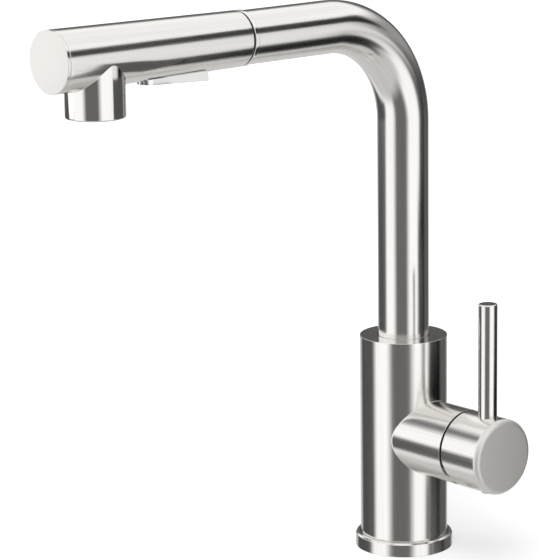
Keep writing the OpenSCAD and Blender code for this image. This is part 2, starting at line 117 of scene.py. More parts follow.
def maths(tree, operation, a, b=0.0, clamp=False):
    node = add_node(tree, "ShaderNodeMath", {0: a, 1: b}, operation=operation, use_clamp=clamp)
    return node.outputs[0]


def mix_shaders(tree, share, first, second):
    shaders = {0: share, 1: first.outputs[0], 2: second.outputs[0]}
    return add_node(tree, "ShaderNodeMixShader", shaders)


def show(tree, shader, kind="ShaderNodeOutputMaterial"):
    add_node(tree, kind, {"Surface": shader.outputs[0]})


helpers = (new_material, add_node, maths, mix_shaders, show)
print("node helpers:", [helper.__name__ for helper in helpers])

# %% [markdown]
# ## Helpers for places
# The patterns and the studio's cloths ask where a point lies: its object coordinates, its three
# parts, its distance from the upright axis, and its compass angle round that axis in degrees.

# %% Place helpers
DEGREES = 180.0 / math.pi


def object_place(tree):
    return add_node(tree, "ShaderNodeTexCoord").outputs["Object"]


def parts_of(tree, place):
    return add_node(tree, "ShaderNodeSeparateXYZ", {0: place}).outputs


def length_of(tree, place):
    return add_node(tree, "ShaderNodeVectorMath", {0: place}, operation="LENGTH").outputs["Value"]


def distance_from_axis(tree, parts):
    flat = add_node(tree, "ShaderNodeCombineXYZ", {0: parts["X"], 1: parts["Y"]})
    return length_of(tree, flat.outputs[0])


def compass_angle(tree, parts):
    return maths(tree, "MULTIPLY", maths(tree, "ARCTAN2", parts["Y"], parts["X"]), DEGREES)


def background_rays(tree):
    """1 for the rays that should meet a white studio: from the camera, reflected or let through."""
    light_path = add_node(tree, "ShaderNodeLightPath").outputs
    seen = maths(tree, "MAXIMUM", light_path["Is Camera Ray"], light_path["Is Glossy Ray"])
    return maths(tree, "MAXIMUM", seen, light_path["Is Transmission Ray"])


def deselect_all():
    if bpy.context.object and bpy.context.object.mode != "OBJECT":
        bpy.ops.object.mode_set(mode="OBJECT")
    bpy.ops.object.select_all(action="DESELECT")


print("one turn is", round(2 * math.pi * DEGREES), "degrees")

# %% [markdown]
# ## Floor
# The floor is a plain pale sheet. The lamps alone would leave it grey far away, so it glows a
# little as well: weakly under the faucet, where the shadow has to show, and more strongly further
# out, where the lamps fade. The glow is only looked at and lights nothing. Reflections don't see
# the floor at all, because the tent and the cards below give them something better to show.

# %% Floor
scene.view_settings.view_transform = "Standard"
FLOOR_SIZE = 8.0
FLOOR_COLOUR = (0.80, 0.80, 0.80, 1)
GLOW_FROM, GLOW_TO = 0.15, 0.7  # metres from the faucet
GLOW_NEAR, GLOW_FAR = 0.33, 0.75

deselect_all()
bpy.ops.mesh.primitive_plane_add(size=FLOOR_SIZE, location=(0, 0, 0))
floor = bpy.context.object
floor.name = "studio_floor"
floor.visible_glossy = False
floor_paint, tree = new_material("white_floor")
matt = add_node(tree, "ShaderNodeBsdfDiffuse", {"Color": FLOOR_COLOUR})
unlit = add_node(tree, "ShaderNodeEmission", {"Strength": 0.0})
brighter = add_node(tree, "ShaderNodeMapRange", {
    "Value": length_of(tree, object_place(tree)), "From Min": GLOW_FROM, "From Max": GLOW_TO,
    "To Min": GLOW_NEAR, "To Max": GLOW_FAR})
glow = add_node(tree, "ShaderNodeEmission", {"Strength": brighter.outputs[0]})
lift = mix_shaders(tree, background_rays(tree), unlit, glow)
show(tree, add_node(tree, "ShaderNodeAddShader", {0: matt.outputs[0], 1: lift.outputs[0]}))
floor.data.materials.append(floor_paint)
print("floor of", FLOOR_SIZE, "m, glowing from", GLOW_NEAR, "to", GLOW_FAR)

# %% [markdown]
# ## World and lamps
# The world is white for the camera and the reflections, through the Light Path node, and dimmer
# as a light. The lamps are broad and soft, and light only what is matt: the floor, the rubber and
# the plastics. A lamp that steel could mirror would put a hard patch among the soft stripes.

# %% World
WHITE = (1, 1, 1, 1)
SOFT_LIGHT, WHITE_WALL = 0.45, 1.0
scene.world = bpy.data.worlds.new("studio")
scene.world.use_nodes = True
tree = scene.world.node_tree
tree.nodes.clear()
soft_light = add_node(tree, "ShaderNodeBackground", {"Color": WHITE, "Strength": SOFT_LIGHT})
white_wall = add_node(tree, "ShaderNodeBackground", {"Color": WHITE, "Strength": WHITE_WALL})
mixed = mix_shaders(tree, background_rays(tree), soft_light, white_wall)
show(tree, mixed, "ShaderNodeOutputWorld")
print("world light", SOFT_LIGHT, "behind a white wall of", WHITE_WALL)

# %% Lamps
LAMPS_AIM_AT = Vector((0, -0.1, 0.15))
# place in metres, size in metres, power in watts
LAMPS = {
    "key_lamp": ((1.2, -1.3, 2.0), 1.4, 26.0),
    "fill_lamp": ((-1.6, -0.6, 1.4), 1.4, 12.0),
    "back_lamp": ((0.4, 1.6, 1.8), 1.2, 10.0),
}
for name, (place, size, watts) in LAMPS.items():
    lamp_data = bpy.data.lights.new(name, "AREA")
    lamp_data.size = size
    lamp_data.energy = watts
    lamp = bpy.data.objects.new(name, lamp_data)
    scene.collection.objects.link(lamp)
    lamp.location = place
    lamp.rotation_euler = (LAMPS_AIM_AT - Vector(place)).to_track_quat("-Z", "Y").to_euler()
    lamp.visible_glossy = False
print("lamps:", list(LAMPS))

# %% [markdown]
# ## The reflection tent
# Brushed steel has hardly any colour of its own: what it shows is the studio around it. A tent,
# a big ball that only reflections can see, carries the bright cloth and the dark flags that draw
# the stripes on the tubes. Planes hung round the faucet would do as well, but on a ball each flag
# is just a pair of angles. A flag is a soft-edged patch, given by the compass angle and the height
# angle at which it stands, seen from the faucet. One node group draws any flag.

# %% A flag as a node group
FLAG_INPUTS = ("Compass", "Height", "Centre", "Half width", "Side blur", "Middle", "Half height",
               "Top blur", "Darkness")
HALF_TURN, FULL_TURN = 180.0, 360.0
flag_group = bpy.data.node_groups.new("studio_flag", "ShaderNodeTree")
for socket in FLAG_INPUTS:
    flag_group.interface.new_socket(socket, in_out="INPUT", socket_type="NodeSocketFloat")
flag_group.interface.new_socket("Light", in_out="OUTPUT", socket_type="NodeSocketFloat")
flag_in = flag_group.nodes.new("NodeGroupInput").outputs
flag_out = flag_group.nodes.new("NodeGroupOutput").inputs


def flag_edge(gap, half, blur):
    """1 inside the flag, 0 outside it, with a soft ramp that is as wide as the blur."""
    inside = maths(flag_group, "SUBTRACT", flag_in[half], maths(flag_group, "ABSOLUTE", gap))
    share = maths(flag_group, "DIVIDE", inside, flag_in[blur])
    return maths(flag_group, "ADD", share, 0.5, clamp=True)


# the compass gap is wrapped to lie between minus and plus half a turn
gap = maths(flag_group, "SUBTRACT", flag_in["Compass"], flag_in["Centre"])
gap = maths(flag_group, "ADD", gap, FULL_TURN + HALF_TURN)
gap = maths(flag_group, "FLOORED_MODULO", gap, FULL_TURN)
across = flag_edge(maths(flag_group, "SUBTRACT", gap, HALF_TURN), "Half width", "Side blur")
raised = maths(flag_group, "SUBTRACT", flag_in["Height"], flag_in["Middle"])
along = flag_edge(raised, "Half height", "Top blur")
patch = maths(flag_group, "MULTIPLY", across, along)
shade = maths(flag_group, "MULTIPLY", patch, flag_in["Darkness"])
flag_group.links.new(maths(flag_group, "SUBTRACT", 1.0, shade), flag_out["Light"])
print("a flag is drawn with", len(flag_group.nodes), "nodes")

# %% Helpers for what only reflections see


def reflection_only(thing, name):
    thing.name = name
    for switch in ("visible_camera", "visible_diffuse", "visible_transmission", "visible_shadow"):
        setattr(thing, switch, False)


def studio_paint(name):
    """A paint that glows without being sampled as a lamp."""
    paint, tree = new_material(name)
    paint.cycles.emission_sampling = "NONE"
    return paint, tree


def light_past(tree, flags, compass, height, light):
    """The light that the flags leave, one flag after the other."""
    for flag in flags:
        inputs = dict(zip(FLAG_INPUTS, (compass, height, *flag)))
        node = add_node(tree, "ShaderNodeGroup", inputs, node_tree=flag_group)
        light = maths(tree, "MULTIPLY", node.outputs["Light"], light)
    return light


helpers = (reflection_only, studio_paint, light_past)
print("studio helpers:", [helper.__name__ for helper in helpers])

# %% Hang the tent
TENT_RADIUS = 6.0
TENT_LIGHT = 1.2
# in degrees: compass centre, half width, blur, height middle, half height, blur; then darkness
FLAGS = {
    "dim_ground": (0, 200, 1, -66, 32, 12, 0.45),
    "dim_sky": (0, 200, 1, 80, 38, 20, 0.12),
    "dark_far_right": (82, 27, 12, -12, 18, 10, 0.90),
    "dim_right_top": (82, 34, 14, 14, 16, 12, 0.70),
    "dim_strip": (42, 12, 8, -2, 24, 8, 0.22),
    "black_strip": (47, 20, 8, 25.5, 9, 3, 0.985),
    "grey_behind": (138, 36, 16, -10, 24, 12, 0.46),
    "dark_behind_top": (140, 30, 12, 17, 15, 6, 0.90),
    "dark_left": (202, 32, 12, -16, 13, 6, 0.93),
    "dark_left_top": (204, 15, 9, 34, 9, 6, 0.89),
    "grey_front": (309, 29, 16, -10, 30, 14, 0.87),
}

deselect_all()
bpy.ops.mesh.primitive_uv_sphere_add(
    segments=64, ring_count=32, radius=TENT_RADIUS, location=(0, 0, 0))
tent = bpy.context.object
reflection_only(tent, "reflection_tent")
tent_paint, tree = studio_paint("tent_cloth")
parts = parts_of(tree, object_place(tree))
height = maths(tree, "ARCSINE", maths(tree, "DIVIDE", parts["Z"], TENT_RADIUS))
height = maths(tree, "MULTIPLY", height, DEGREES)
light = light_past(tree, FLAGS.values(), compass_angle(tree, parts), height, TENT_LIGHT)
show(tree, add_node(tree, "ShaderNodeEmission", {"Color": light}))
tent.data.materials.append(tent_paint)
print("flags in the tent:", len(FLAGS))

# %% [markdown]
# ## Cards close by
# Flags far away look the same from every part of the faucet. Cards close by do not: in a studio
# they darken one tube and leave the next one light. A round screen stands near the column, a dark
# card lies on the table where only the spray head sees it, a small card hangs beside the nozzle,
# and a small white card lights the flat end of the head. Only reflections see them. The screen
# and the table card wear flags as the tent does, with a length in centimetres as the height.

# %% Paint for the cards
CENTIMETRES = 100.0


def card_paint(name, flags, along):
    """A black paint with soft edges, see-through where there is no flag."""
    paint, tree = studio_paint(name)
    parts = parts_of(tree, object_place(tree))
    distance = parts["Z"] if along == "height" else distance_from_axis(tree, parts)
    distance = maths(tree, "MULTIPLY", distance, CENTIMETRES)
    light = light_past(tree, flags, compass_angle(tree, parts), distance, 1.0)
    show(tree, add_node(tree, "ShaderNodeBsdfTransparent", {"Color": light}))
    return paint


def glowing_paint(name, strength):
    paint, tree = studio_paint(name)
    show(tree, add_node(tree, "ShaderNodeEmission", {"Strength": strength}))
    return paint


def hang(card, place, distance, direction):
    """Hangs a card at a distance from a place, turned to face it."""
    card.location = Vector(place) + distance * direction
    card.rotation_euler = direction.to_track_quat("Z", "Y").to_euler()


print("card helpers:", [helper.__name__ for helper in (card_paint, glowing_paint, hang)])

# %% The round screen
SCREEN_RADIUS, SCREEN_HEIGHT = 0.25, 0.8
SCREEN_FLAGS = (
    (43, 19, 10, 3, 13, 4, 0.91), (48, 14, 8, 19.5, 6.5, 3, 0.91), (19, 6, 9, -8, 7, 4, 0.90))
deselect_all()
bpy.ops.mesh.primitive_cylinder_add(
    vertices=96, radius=SCREEN_RADIUS, depth=SCREEN_HEIGHT, end_fill_type="NOTHING",
    location=(0, 0, 0))
screen = bpy.context.object
reflection_only(screen, "round_screen")
screen.data.materials.append(card_paint("screen_black", SCREEN_FLAGS, "height"))
print("round screen with", len(SCREEN_FLAGS), "flags at", SCREEN_RADIUS, "m")

# %% The card on the table
TABLE_CARD_SIZE, BELOW_FLOOR = 2.0, 0.0005
TABLE_FLAGS = ((44, 21, 8, 35, 15, 12, 0.95),)
deselect_all()
bpy.ops.mesh.primitive_plane_add(size=TABLE_CARD_SIZE, location=(0, 0, -BELOW_FLOOR))
table_card = bpy.context.object
reflection_only(table_card, "table_card")
table_card.data.materials.append(card_paint("table_black", TABLE_FLAGS, "reach"))
print("table card with", len(TABLE_FLAGS), "flag")

# %% The card beside the nozzle
NOZZLE_CARD_TURN = 42.0
NOZZLE_CARD_SCALE = (0.046, 0.040, 1.0)
BESIDE_NOZZLE, NOZZLE_CARD_AWAY = (0, -0.21, 0.270), 0.055
NOZZLE_CARD_GLOW = 0.10
deselect_all()
bpy.ops.mesh.primitive_plane_add(size=1.0)
nozzle_card = bpy.context.object
reflection_only(nozzle_card, "nozzle_card")
side_way = Matrix.Rotation(math.radians(NOZZLE_CARD_TURN), 3, "Z") @ Vector((1, 0, 0))
hang(nozzle_card, BESIDE_NOZZLE, NOZZLE_CARD_AWAY, side_way)
nozzle_card.scale = NOZZLE_CARD_SCALE
nozzle_card.data.materials.append(glowing_paint("nozzle_black", NOZZLE_CARD_GLOW))
print("nozzle card at", [round(value, 3) for value in nozzle_card.location])

# %% The white card
WHITE_CARD_RADIUS = 0.034
BEFORE_HEAD_END, WHITE_CARD_AWAY = (0, -0.245, 0.3), 0.09
WHITE_CARD_GLOW = 1.38
deselect_all()
bpy.ops.mesh.primitive_circle_add(vertices=48, radius=WHITE_CARD_RADIUS, fill_type="NGON")
white_card = bpy.context.object
reflection_only(white_card, "white_card")
end_way = Vector((-0.80, -0.58, -0.14)).normalized()
hang(white_card, BEFORE_HEAD_END, WHITE_CARD_AWAY, end_way)
white_card.data.materials.append(glowing_paint("card_white", WHITE_CARD_GLOW))
print("white card at", [round(value, 3) for value in white_card.location])

# %% [markdown]
# ## Patterns shared by the finishes
# A finish is colour, roughness and a little relief, all driven by one pattern. Each pattern is a
# node group that puts out a value between 0 and 1. Hairlines are noise stretched along the
# brushing, rings are noise that depends only on the distance from the lathe's axis, and speckle
# is the fine unevenness of castings and mouldings. The patterns read a place: either the object's
# own coordinates or the attribute "grain", the place on the piece as if it stood straight.

# %% Helpers for patterns


def new_pattern(name, values):
    group = bpy.data.node_groups.new(name, "ShaderNodeTree")
    group.interface.new_socket("Place", in_out="INPUT", socket_type="NodeSocketVector")
    for value in values:
        group.interface.new_socket(value, in_out="INPUT", socket_type="NodeSocketFloat")
    group.interface.new_socket("Pattern", in_out="OUTPUT", socket_type="NodeSocketFloat")
    inside = group.nodes.new("NodeGroupInput").outputs
    return group, inside, group.nodes.new("NodeGroupOutput").inputs["Pattern"]


def noise(tree, place, scale, detail, roughness=0.55):
    inputs = {"Vector": place, "Scale": scale, "Detail": detail, "Roughness": roughness}
    return add_node(tree, "ShaderNodeTexNoise", inputs).outputs["Fac"]


def mixed_noise(tree, fine, coarse, share):
    """Fine noise with a share of coarse noise in it."""
    fine = maths(tree, "MULTIPLY", fine, 1.0 - share)
    return maths(tree, "ADD", fine, maths(tree, "MULTIPLY", coarse, share))


print("pattern helpers:", [helper.__name__ for helper in (new_pattern, noise, mixed_noise)])

# %% Hairlines
hairline, inside, out = new_pattern("hairline", ("Across", "Along"))
stretch = add_node(hairline, "ShaderNodeCombineXYZ", {
    0: inside["Across"], 1: inside["Across"], 2: inside["Along"]}).outputs[0]
stretched = add_node(hairline, "ShaderNodeVectorMath", {0: inside["Place"], 1: stretch},
                     operation="MULTIPLY").outputs[0]
fine = noise(hairline, stretched, scale=1.0, detail=3.0)
coarse = noise(hairline, stretched, scale=0.2, detail=2.0)
hairline.links.new(mixed_noise(hairline, fine, coarse, share=0.5), out)
print("pattern:", hairline.name)

# %% Rings
rings, inside, out = new_pattern("rings", ("Across",))
distance = distance_from_axis(rings, parts_of(rings, inside["Place"]))
stretched = maths(rings, "MULTIPLY", distance, inside["Across"])
turned = add_node(rings, "ShaderNodeCombineXYZ", {0: stretched}).outputs[0]
rings.links.new(noise(rings, turned, scale=1.0, detail=4.0, roughness=0.7), out)
print("pattern:", rings.name)

# %% Speckle
speckle, inside, out = new_pattern("speckle", ("Grain",))
spread = add_node(speckle, "ShaderNodeVectorMath", {0: inside["Place"], "Scale": inside["Grain"]},
                  operation="SCALE").outputs[0]
fine = noise(speckle, spread, scale=1.0, detail=2.0)
coarse = noise(speckle, spread, scale=0.06, detail=2.0)
speckle.links.new(mixed_noise(speckle, fine, coarse, share=0.4), out)
print("pattern:", speckle.name)

# %% Braid
# Two families of strands run round the hose in opposite directions, as in a woven sleeve.
braid, inside, out = new_pattern("braid", ("Strands", "Pitch"))
parts = parts_of(braid, inside["Place"])
round_way = maths(braid, "ARCTAN2", parts["X"], parts["Z"])
round_way = maths(braid, "MULTIPLY", round_way, inside["Strands"])
long_way = maths(braid, "MULTIPLY", parts["Y"], inside["Pitch"])
right_hand = maths(braid, "SINE", maths(braid, "ADD", round_way, long_way))
left_hand = maths(braid, "SINE", maths(braid, "SUBTRACT", round_way, long_way))
crossing = maths(braid, "MULTIPLY", right_hand, left_hand)
braid.links.new(maths(braid, "ADD", maths(braid, "MULTIPLY", crossing, 0.5), 0.5), out)
print("pattern:", braid.name)

# %% [markdown]
# ## One recipe for every finish
# The pattern moves the colour between two shades and the roughness between two values, and lifts
# the surface by a few thousandths of a millimetre. A painted texture could carry all this too,
# but a procedural pattern stays sharp from any distance and needs no file.

# %% The recipe
MICROMETRES = 1e-6


def make_finish(name, pattern, values, shades, roughness, relief, grain=False, shift=(0, 0, 0),
                **shader_values):
    """Shades and roughness are the pattern's two ends, the relief is in micrometres."""
    material, tree = new_material(name)
    if grain:
        place = add_node(tree, "ShaderNodeAttribute", attribute_name="grain").outputs["Vector"]
    else:
        place = object_place(tree)
    place = add_node(tree, "ShaderNodeMapping", {"Vector": place, "Location": shift}).outputs[0]
    drawn = add_node(tree, "ShaderNodeGroup", {"Place": place, **values}, node_tree=pattern)
    drawn = drawn.outputs["Pattern"]
    colour = add_node(tree, "ShaderNodeMix", {
        "Factor": drawn, "A": (*shades[0], 1), "B": (*shades[1], 1)}, data_type="RGBA")
    rough = add_node(tree, "ShaderNodeMapRange", {
        "Value": drawn, "To Min": roughness[0], "To Max": roughness[1]})
    bump = add_node(tree, "ShaderNodeBump", {
        "Height": drawn, "Strength": 1.0, "Distance": relief * MICROMETRES})
    inputs = {"Base Color": colour.outputs["Result"], "Roughness": rough.outputs[0],
              "Normal": bump.outputs[0], **shader_values}
    show(tree, add_node(tree, "ShaderNodeBsdfPrincipled", inputs))
    return material


print("a relief of 30 micrometres is", 30 * MICROMETRES, "m")

# %% [markdown]
# ## The steels
# The outside is one stainless steel in three finishes. The tubes are brushed along their length,
# so their hairlines are close together across and long. Flat ends come off the lathe, with fine
# rings and a wide, satin gloss. The nozzle is brushed more finely and shines more. The mouth ring
# and the rocker are polished instead. All steels are fully metallic, and differ in how far their
# roughness opens the reflections.

# %% The steels
STEEL_SHADES = ((0.68, 0.665, 0.64), (0.93, 0.915, 0.89))
brushed_stainless = make_finish(
    "brushed_stainless", hairline, {"Across": 1150.0, "Along": 20.0}, STEEL_SHADES,
    roughness=(0.11, 0.23), relief=30.0, grain=True, Metallic=1.0)
turned_stainless = make_finish(
    "turned_stainless", rings, {"Across": 3000.0}, STEEL_SHADES,
    roughness=(0.50, 0.62), relief=4.0, grain=True, Metallic=1.0)
bright_stainless = make_finish(
    "bright_stainless", hairline, {"Across": 1500.0, "Along": 26.0}, STEEL_SHADES,
    roughness=(0.08, 0.12), relief=3.0, grain=True, Metallic=1.0)
polished_steel = make_finish(
    "polished_steel", speckle, {"Grain": 900.0}, ((0.80, 0.80, 0.79), (0.86, 0.86, 0.85)),
    roughness=(0.12, 0.17), relief=0.6, Metallic=1.0)
print("finishes:", len(bpy.data.materials))

# %% [markdown]
# ## The inner materials
# Inside are hard steel for the pins and the screw, machined brass for what holds water, white
# nylon and grey or black plastic for what slides or clicks, ceramic for the valve's discs and
# rubber for the seals. They are all seen only when the faucet is taken apart, so one speckle with
# its own grain size, shades and roughness tells them apart well enough.

# %% Metals and mouldings
# name: grain, darkest shade, lightest shade, roughness, relief in micrometres, metallic
INNER_FINISHES = {
    "hard_steel": (1800.0, (0.42, 0.42, 0.43), (0.55, 0.55, 0.56), (0.28, 0.42), 4.0, 1.0),
    "machined_brass": (1500.0, (0.72, 0.56, 0.30), (0.83, 0.69, 0.42), (0.26, 0.40), 5.0, 1.0),
    "white_nylon": (1200.0, (0.76, 0.75, 0.71), (0.83, 0.82, 0.79), (0.42, 0.58), 8.0, 0.0),
    "ceramic": (2200.0, (0.80, 0.79, 0.75), (0.88, 0.87, 0.84), (0.12, 0.22), 1.0, 0.0),
    "black_plastic": (
        1800.0, (0.018, 0.017, 0.017), (0.034, 0.032, 0.031), (0.34, 0.50), 9.0, 0.0),
    "grey_plastic": (1800.0, (0.24, 0.24, 0.25), (0.32, 0.32, 0.33), (0.32, 0.46), 8.0, 0.0),
    "plug_plastic": (1800.0, (0.50, 0.50, 0.49), (0.60, 0.60, 0.59), (0.34, 0.46), 6.0, 0.0),
    "rubber": (2600.0, (0.030, 0.030, 0.032), (0.055, 0.055, 0.057), (0.55, 0.75), 12.0, 0.0),
}
finishes = {
    name: make_finish(name, speckle, {"Grain": grain}, shades, roughness, relief, Metallic=metallic)
    for name, (grain, *shades, roughness, relief, metallic) in INNER_FINISHES.items()}
print("finishes:", len(bpy.data.materials))

# %% [markdown]
# ## Sizes from the construction model
# Every size below is read from the boxes of the construction nodes, so the dressed pieces sit
# exactly where the construction model puts them. From here on, lengths are in millimetres, as on
# a workshop drawing, and the helpers turn them into metres. Walls and the bend's radius do not
# show in a box, so they are written down. This cell reads the column, the handle's axis, the
# spout and the nozzle, which give the other pieces their places.

# %% Read the sizes
MM = 0.001
BEND_R = 57.5


def box_mm(node):
    low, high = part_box(node)
    return low / MM, high / MM


column_low, column_high = box_mm("body_shell")
column_r, column_foot, column_top = column_high.x, column_low.z, column_high.z
housing_low, housing_high = box_mm("valve_housing")
housing_r, housing_end = (housing_high.z - housing_low.z) / 2, housing_high.x
handle_z = (housing_high.z + housing_low.z) / 2
lever_low, lever_high = box_mm("handle_lever")
lever_x, lever_r = (lever_low.x + lever_high.x) / 2, (lever_high.x - lever_low.x) / 2
tube_low, tube_high = box_mm("spout_tube")
tube_r, leg_z = tube_high.x, tube_high.z - tube_high.x
bend_z = leg_z - BEND_R
nozzle_low, nozzle_high = box_mm("nozzle_sleeve")
nozzle_r, nozzle_y = nozzle_high.x, -(nozzle_low.y + nozzle_high.y) / 2
print("leg's axis at", round(leg_z, 2), "mm, handle's axis at", round(handle_z, 2), "mm")

# %% [markdown]
# ## Turning a piece
# Most of the faucet is turned on a lathe or is a round tube. The hand way to model that is a
# circle that is extruded again and again, and scaled at each step, so that it walks along the
# piece's profile. A Screw modifier would do it too, but extruding keeps each ring of the piece
# in sight. The piece is made standing on the origin, and is then laid along the column, the
# lever, the handle, the leg or the nozzle.

# %% Lay a piece in its place
# turn in degrees, then the move
LAY = {
    "column": ((0, 0, 0), (0, 0, 0)),
    "lever": ((0, 0, 0), (lever_x, 0, 0)),
    "handle": ((0, 90, 0), (0, 0, handle_z)),
    "leg": ((90, 0, 0), (0, 0, leg_z)),
    "nozzle": ((180, 0, 0), (0, -nozzle_y, leg_z)),
}


def activate(piece):
    deselect_all()
    piece.select_set(True)
    bpy.context.view_layer.objects.active = piece


def place_piece(piece, lie):
    turn_by, move_to = LAY[lie]
    activate(piece)
    piece.rotation_euler = [math.radians(angle) for angle in turn_by]
    piece.location = Vector(move_to) * MM
    bpy.ops.object.transform_apply(location=True, rotation=True, scale=True)


print("ways to lie:", list(LAY))

# %% Turn a piece


def start_circle(name, radius, height, sides):
    deselect_all()
    bpy.ops.mesh.primitive_circle_add(vertices=sides, radius=radius * MM, location=(0, 0, 0))
    piece = bpy.context.object
    piece.name = piece.data.name = name
    bpy.ops.object.mode_set(mode="EDIT")
    bpy.ops.mesh.select_all(action="SELECT")
    bpy.ops.transform.translate(value=(0, 0, height * MM))
    return piece


def extrude_by(x, y, z):
    bpy.ops.mesh.extrude_region_move(TRANSFORM_OT_translate={"value": (x * MM, y * MM, z * MM)})


def close_shell(rims):
    """Bridges or fills the open rims, or leaves them, and points the faces outwards."""
    bpy.ops.mesh.select_all(action="DESELECT")
    bpy.ops.mesh.select_non_manifold()
    if rims == "bridged":
        bpy.ops.mesh.bridge_edge_loops()
    elif rims == "filled":
        bpy.ops.mesh.fill_holes(sides=0)
    bpy.ops.mesh.select_all(action="SELECT")
    bpy.ops.mesh.normals_make_consistent(inside=False)
    bpy.ops.object.mode_set(mode="OBJECT")


def turn_piece(name, profile, lie, rims="bridged", sides=128):
    """Walks along a profile of (radius, height) pairs."""
    (radius, height), *rest = profile
    piece = start_circle(name, radius, height, sides)
    for next_radius, next_height in rest:
        extrude_by(0, 0, next_height - height)
        share = next_radius / radius
        bpy.ops.transform.resize(
            value=(share, share, 1), center_override=(0, 0, next_height * MM))
        radius, height = next_radius, next_height
    close_shell(rims)
    place_piece(piece, lie)
    return piece


helpers = (start_circle, extrude_by, close_shell, turn_piece)
print("turning helpers:", [helper.__name__ for helper in helpers])

# %% Round its edges
EDGES_FROM, SMOOTH_UP_TO = math.radians(40), math.radians(35)


def shape_with(piece, kind, **settings):
    activate(piece)
    modifier = piece.modifiers.new(kind.lower(), kind)
    for key, value in settings.items():
        setattr(modifier, key, value)
    bpy.ops.object.modifier_apply(modifier=modifier.name)


def round_edges(piece, width, segments=3):
    shape_with(piece, "BEVEL", width=width * MM, segments=segments, limit_method="ANGLE",
               angle_limit=EDGES_FROM)


def smooth_off(piece):
    activate(piece)
    bpy.ops.object.shade_smooth_by_angle(angle=SMOOTH_UP_TO)
    shape_with(piece, "WEIGHTED_NORMAL", keep_sharp=True)


print("edges are rounded from", round(math.degrees(EDGES_FROM)), "degrees")

# %% [markdown]
# ## Grain and riding
# The brushing of a tube follows the tube, round the bend as well. So each piece gets the
# attribute "grain": its points as they would lie if the part stood straight with its length
# along Z. Faces that were turned on a lathe get the ringed finish instead. The last helper says
# which body a piece moves with, which construction node it stands for and which finish it has.

# %% Helpers for finishing
SATIN_FROM = 0.12  # a face is turned where its normal leans this far towards the flat end


def straightened(x, y, z, lie):
    if lie == "handle":
        return z - handle_z, y, x
    if lie == "leg":
        return x, z - leg_z, -y
    if lie == "nozzle":
        return x, y + nozzle_y, leg_z - z
    if lie == "spout" and z > bend_z:
        angle = math.atan2(z - bend_z, y + BEND_R) if y > -BEND_R else math.pi / 2
        past = max(0.0, -BEND_R - y)
        out = z - leg_z if past > 0 else math.hypot(y + BEND_R, z - bend_z) - BEND_R
        return x, out, bend_z + BEND_R * angle + past
    return x, y, z


def dress(piece, body, node, material, lie="column", turned_towards=None):
    smooth_off(piece)
    places = [straightened(*(vertex.co / MM), lie) for vertex in piece.data.vertices]
    grain = piece.data.attributes.new("grain", "FLOAT_VECTOR", "POINT")
    grain.data.foreach_set("vector", [value * MM for place in places for value in place])
    piece.data.materials.append(material)
    if turned_towards:
        piece.data.materials.append(turned_stainless)
        for face in piece.data.polygons:
            face.material_index = int(face.normal.dot(Vector(turned_towards)) > SATIN_FROM)
    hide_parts(node)
    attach(piece, body)
    print(piece.name, "stands for", node, "with", len(piece.data.polygons), "faces")


# %% [markdown]
# ## Deck flange
# The flange covers the hole in the counter. It is a turned ring with a bevelled upper edge, a
# recess in which the column stands, and a groove below for the rubber seal, which stays as
# constructed. A cylinder could be bevelled and cut, but one walk round the profile makes the
# recess and the groove as well. The bevel catches the light, and the thin gap to the column
# reads as a dark line.

# %% Flange
FLANGE_BEVEL = 0.9
SEAL_WIDTH = 2.2
COLUMN_WALL = 3.0
GAP = 0.3
flange_high = box_mm("deck_flange")[1]
flange_r, flange_h = flange_high.x, flange_high.z
seal_high = box_mm("deck_gasket")[1]
seal_in_r = seal_high.x - SEAL_WIDTH
column_in_r = column_r - COLUMN_WALL
recess_r = column_r + GAP
flange = turn_piece("flange_ring", [
    (column_in_r, 0), (seal_in_r, 0), (seal_in_r, seal_high.z), (seal_high.x, seal_high.z),
    (seal_high.x, 0), (flange_r, 0), (flange_r, flange_h - FLANGE_BEVEL),
    (flange_r - FLANGE_BEVEL, flange_h), (recess_r, flange_h), (recess_r, column_foot),
    (column_in_r, column_foot)], "column")
round_edges(flange, width=0.18)
dress(flange, "base", "deck_flange", brushed_stainless)

# %% [markdown]
# ## Column
# The column is a tube with a plate on top, and the plate has the hole for the spout. It is
# extruded in one walk: up the outside, over the plate, and down the inside. A pipe primitive has
# no plate and no rings. Here the rings in the middle lie close together, so that the hole for the
# valve, cut with a Boolean modifier, only disturbs faces that the valve's housing hides.

# %% Column
VALVE_BAND = 24.0
TOP_PLATE = 3.0


def spaced(low, high, step):
    """Places from low to high, about a step apart."""
    count = max(1, round((high - low) / step))
    return [low + (high - low) * k / count for k in range(count + 1)]


outside = [(column_r, z) for z in spaced(handle_z - VALVE_BAND, handle_z + VALVE_BAND, step=1.6)]
plate_under = column_top - TOP_PLATE
column = turn_piece("column_tube", [(column_r, column_foot)] + outside + [
    (column_r, column_top), (tube_r + GAP, column_top), (tube_r + GAP, plate_under),
    (column_in_r, plate_under), (column_in_r, column_foot)], "column")
round_edges(column, width=0.18)
print("column turned with", len(column.data.vertices), "points")

# %% Hole for the valve
CARTRIDGE_PLAY = 0.2
bore_r = box_mm("cartridge_body")[1].y + CARTRIDGE_PLAY


def round_cutter(radius, depth, centre, lying=False, sides=128):
    deselect_all()
    bpy.ops.mesh.primitive_cylinder_add(
        vertices=sides, radius=radius * MM, depth=depth * MM,
        location=[value * MM for value in centre], rotation=(0, math.pi / 2 if lying else 0, 0))
    return bpy.context.object


def cut_away(piece, cutter):
    shape_with(piece, "BOOLEAN", operation="DIFFERENCE", object=cutter, solver="EXACT")
    bpy.data.objects.remove(cutter)


cut_away(column, round_cutter(bore_r, column_r, (column_r / 2, 0, handle_z), lying=True))
dress(column, "base", "body_shell", brushed_stainless)

